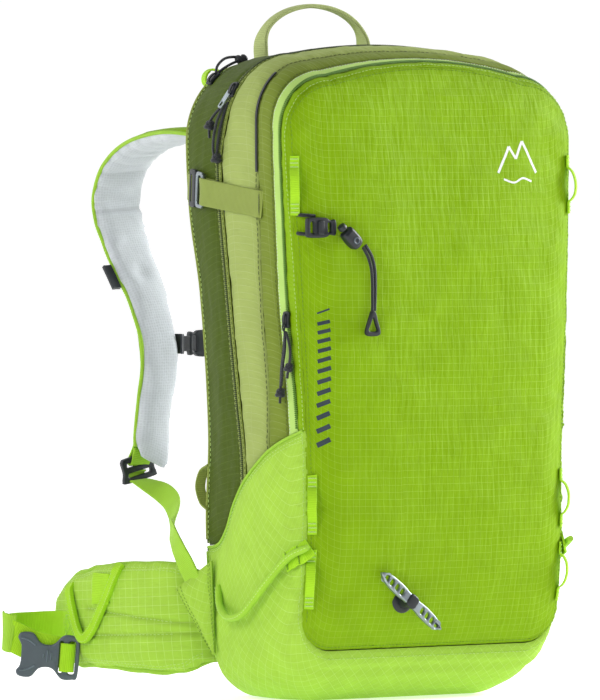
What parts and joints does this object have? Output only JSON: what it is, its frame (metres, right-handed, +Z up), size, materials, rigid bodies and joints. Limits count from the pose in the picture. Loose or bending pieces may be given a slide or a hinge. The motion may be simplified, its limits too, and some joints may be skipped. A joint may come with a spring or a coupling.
{
  "type": "ski backpack",
  "caption": "Ski touring backpack with zipped front flap, folding back door, padded shoulder straps, winged hip belt, ski loops and ice axe holder.",
  "frame": {"origin": "on the floor under the middle of the bag's base", "axes": "+Z up the bag; -Y out of the front panel; +Y towards the wearer's back; -X is the wearer's left"},
  "size_m": [0.4332, 0.4375, 0.6415],
  "materials": {
    "lime_ripstop": "matte",
    "lime_cover": "matte",
    "zip_tape": "matte",
    "olive_light": "matte",
    "olive": "matte",
    "olive_dark": "matte",
    "lime_webbing": "matte",
    "olive_webbing": "matte",
    "mesh_foam": "matte",
    "black_plastic": "satin",
    "slate_plastic": "satin",
    "black_cord": "matte",
    "toggle_metal": "satin",
    "aluminium": "satin",
    "frame_plastic": "matte",
    "toggle_pin": "satin"
  },
  "bodies": {
    "pack": {"lower_cover": "lime_cover", "front_lower_panel": "lime_ripstop", "front_zip": "zip_tape", "front_gusset": "olive", "side_gusset": "olive_light", "lumbar_panel": "lime_cover", "divider": "olive", "lumbar_pad": "mesh_foam", "toggle_grommet": "toggle_pin", "strap_anchor_left": "lime_webbing", "compression_strap_left": "olive_webbing", "lash_loop_middle_left": "lime_webbing", "lash_loop_lower_left": "lime_webbing", "strap_anchor_right": "lime_webbing", "compression_strap_right": "olive_webbing", "lash_loop_middle_right": "lime_webbing", "lash_loop_lower_right": "lime_webbing"},
    "front_flap": {"front_panel": "lime_ripstop", "front_flap_gusset": "lime_ripstop", "lash_loop_upper_left": "lime_webbing", "lash_loop_upper_right": "lime_webbing", "axe_clip": "black_plastic"},
    "back_door": {"rear_gusset": "olive_dark", "frame_sheet": "olive_dark", "back_pad_left": "mesh_foam", "back_pad_right": "mesh_foam", "frame_stay": "aluminium"},
    "haul_loop": {"haul_loop": "olive_webbing"},
    "axe_toggle": {"axe_toggle": "toggle_metal"},
    "cord_lock": {"cord_lock": "black_plastic"},
    "cord_lock_button": {"cord_lock_button": "black_plastic"},
    "axe_cord": {"axe_cord": "black_cord", "axe_cord_pull": "black_plastic"},
    "front_zip_slider": {"front_zip_slider": "black_plastic"},
    "front_zip_pull": {"front_zip_pull": "black_cord"},
    "main_zip_slider_side": {"main_zip_slider_side": "black_plastic"},
    "main_zip_pull_side": {"main_zip_pull_side": "black_cord"},
    "rear_zip_slider": {"rear_zip_slider": "black_plastic", "rear_zip_pull": "black_cord"},
    "shoulder_strap_left": {"shoulder_strap_left": "mesh_foam", "strap_webbing_left": "lime_webbing"},
    "ladder_lock_left": {"ladder_lock_left": "black_plastic"},
    "sternum_buckle_left": {"sternum_buckle_left": "black_plastic"},
    "hip_wing_left": {"hip_wing_left": "lime_ripstop", "hip_webbing_left": "lime_webbing", "gear_loop_left": "lime_webbing"},
    "hip_buckle_left": {"hip_buckle_left": "slate_plastic"},
    "compression_hook_left": {"compression_hook_left": "black_plastic"},
    "ski_loop_left": {"ski_loop_left": "lime_webbing"},
    "shoulder_strap_right": {"shoulder_strap_right": "mesh_foam", "strap_webbing_right": "lime_webbing"},
    "ladder_lock_right": {"ladder_lock_right": "black_plastic"},
    "sternum_buckle_right": {"sternum_buckle_right": "black_plastic"},
    "hip_wing_right": {"hip_wing_right": "lime_ripstop", "hip_webbing_right": "lime_webbing", "gear_loop_right": "lime_webbing"},
    "hip_buckle_right": {"hip_buckle_right": "slate_plastic"},
    "compression_hook_right": {"compression_hook_right": "black_plastic"},
    "ski_loop_right": {"ski_loop_right": "lime_webbing"}
  },
  "joints": [
    {"name": "front_flap_fold", "type": "hinge", "parent": "pack", "child": "front_flap", "pos_m": [0, -0.1165, 0.256], "axis": [1, 0, 0], "range_deg": [0, 80]},
    {"name": "back_door_fold", "type": "hinge", "parent": "pack", "child": "back_door", "pos_m": [0, 0.1, 0.139], "axis": [-1, 0, 0], "range_deg": [0, 25]},
    {"name": "haul_loop_fold", "type": "hinge", "parent": "back_door", "child": "haul_loop", "pos_m": [0, 0.1, 0.597], "axis": [1, 0, 0], "range_deg": [-45, 45]},
    {"name": "axe_toggle_swivel", "type": "hinge", "parent": "pack", "child": "axe_toggle", "pos_m": [-0.042, -0.11, 0.094], "axis": [0, 1, 0], "continuous": true},
    {"name": "cord_lock_slide", "type": "slide", "parent": "front_flap", "child": "cord_lock", "axis": [0.722, 0, -0.6919], "range_m": [-0.008, 0]},
    {"name": "cord_lock_press", "type": "slide", "parent": "cord_lock", "child": "cord_lock_button", "axis": [0.722, 0, -0.6919], "range_m": [0, 0.0016], "stiffness_N_per_m": 600, "springref_m": -0.002},
    {"name": "axe_cord_swing", "type": "hinge", "parent": "front_flap", "child": "axe_cord", "pos_m": [-0.0965, -0.114, 0.419], "axis": [0, 1, 0], "range_deg": [-20, 20]},
    {"name": "front_zip_run", "type": "slide", "parent": "pack", "child": "front_zip_slider", "axis": [-0.0419, 0.0499, 0.9979], "range_m": [-0.08, 0.12]},
    {"name": "front_zip_pull_swing", "type": "hinge", "parent": "front_zip_slider", "child": "front_zip_pull", "pos_m": [-0.157, -0.081, 0.3425], "axis": [1, 0, 0], "range_deg": [-30, 30]},
    {"name": "main_zip_side_run", "type": "slide", "parent": "pack", "child": "main_zip_slider_side", "axis": [0.4711, 0, 0.8821], "range_m": [-0.01, 0.003]},
    {"name": "main_zip_pull_side_swing", "type": "hinge", "parent": "main_zip_slider_side", "child": "main_zip_pull_side", "pos_m": [-0.153, 0.0125, 0.5505], "axis": [1, 0, 0], "range_deg": [-30, 30]},
    {"name": "rear_zip_run", "type": "slide", "parent": "back_door", "child": "rear_zip_slider", "axis": [0.7431, 0, 0.6691], "range_m": [0, 0.008]},
    {"name": "shoulder_strap_left_swing", "type": "hinge", "parent": "back_door", "child": "shoulder_strap_left", "pos_m": [-0.076, 0.119, 0.51], "axis": [1, 0, 0], "range_deg": [0, 20]},
    {"name": "ladder_lock_left_tilt", "type": "hinge", "parent": "shoulder_strap_left", "child": "ladder_lock_left", "pos_m": [-0.089, 0.2595, 0.213], "axis": [1, 0, 0], "range_deg": [-12, 12]},
    {"name": "sternum_buckle_left_slide", "type": "slide", "parent": "shoulder_strap_left", "child": "sternum_buckle_left", "axis": [0, 0, 1], "range_m": [-0.03, 0.03]},
    {"name": "hip_wing_left_swing", "type": "hinge", "parent": "pack", "child": "hip_wing_left", "pos_m": [-0.112, 0.093, 0.07], "axis": [0, 0, 1], "range_deg": [-8, 12]},
    {"name": "hip_buckle_left_unfold", "type": "hinge", "parent": "hip_wing_left", "child": "hip_buckle_left", "pos_m": [-0.215, 0.282, 0.04], "axis": [0, 0, -1], "range_deg": [0, 110]},
    {"name": "compression_hook_left_swing", "type": "hinge", "parent": "back_door", "child": "compression_hook_left", "pos_m": [-0.148, 0.086, 0.47], "axis": [0, 0, -1], "range_deg": [0, 60]},
    {"name": "ski_loop_left_swing", "type": "hinge", "parent": "pack", "child": "ski_loop_left", "pos_m": [-0.149, -0.025, 0.1235], "axis": [0, 0.9648, -0.2629], "range_deg": [0, 60]},
    {"name": "shoulder_strap_right_swing", "type": "hinge", "parent": "back_door", "child": "shoulder_strap_right", "pos_m": [0.076, 0.119, 0.51], "axis": [1, 0, 0], "range_deg": [0, 20]},
    {"name": "ladder_lock_right_tilt", "type": "hinge", "parent": "shoulder_strap_right", "child": "ladder_lock_right", "pos_m": [0.089, 0.2595, 0.213], "axis": [1, 0, 0], "range_deg": [-12, 12]},
    {"name": "sternum_buckle_right_slide", "type": "slide", "parent": "shoulder_strap_right", "child": "sternum_buckle_right", "axis": [0, 0, 1], "range_m": [-0.03, 0.03]},
    {"name": "hip_wing_right_swing", "type": "hinge", "parent": "pack", "child": "hip_wing_right", "pos_m": [0.112, 0.093, 0.07], "axis": [0, 0, -1], "range_deg": [-8, 12]},
    {"name": "hip_buckle_right_unfold", "type": "hinge", "parent": "hip_wing_right", "child": "hip_buckle_right", "pos_m": [0.215, 0.282, 0.04], "axis": [0, 0, 1], "range_deg": [0, 110]},
    {"name": "compression_hook_right_swing", "type": "hinge", "parent": "back_door", "child": "compression_hook_right", "pos_m": [0.148, 0.086, 0.47], "axis": [0, 0, 1], "range_deg": [0, 60]},
    {"name": "ski_loop_right_swing", "type": "hinge", "parent": "pack", "child": "ski_loop_right", "pos_m": [0.149, -0.025, 0.1235], "axis": [0, -0.9648, 0.2629], "range_deg": [0, 60]}
  ]
}
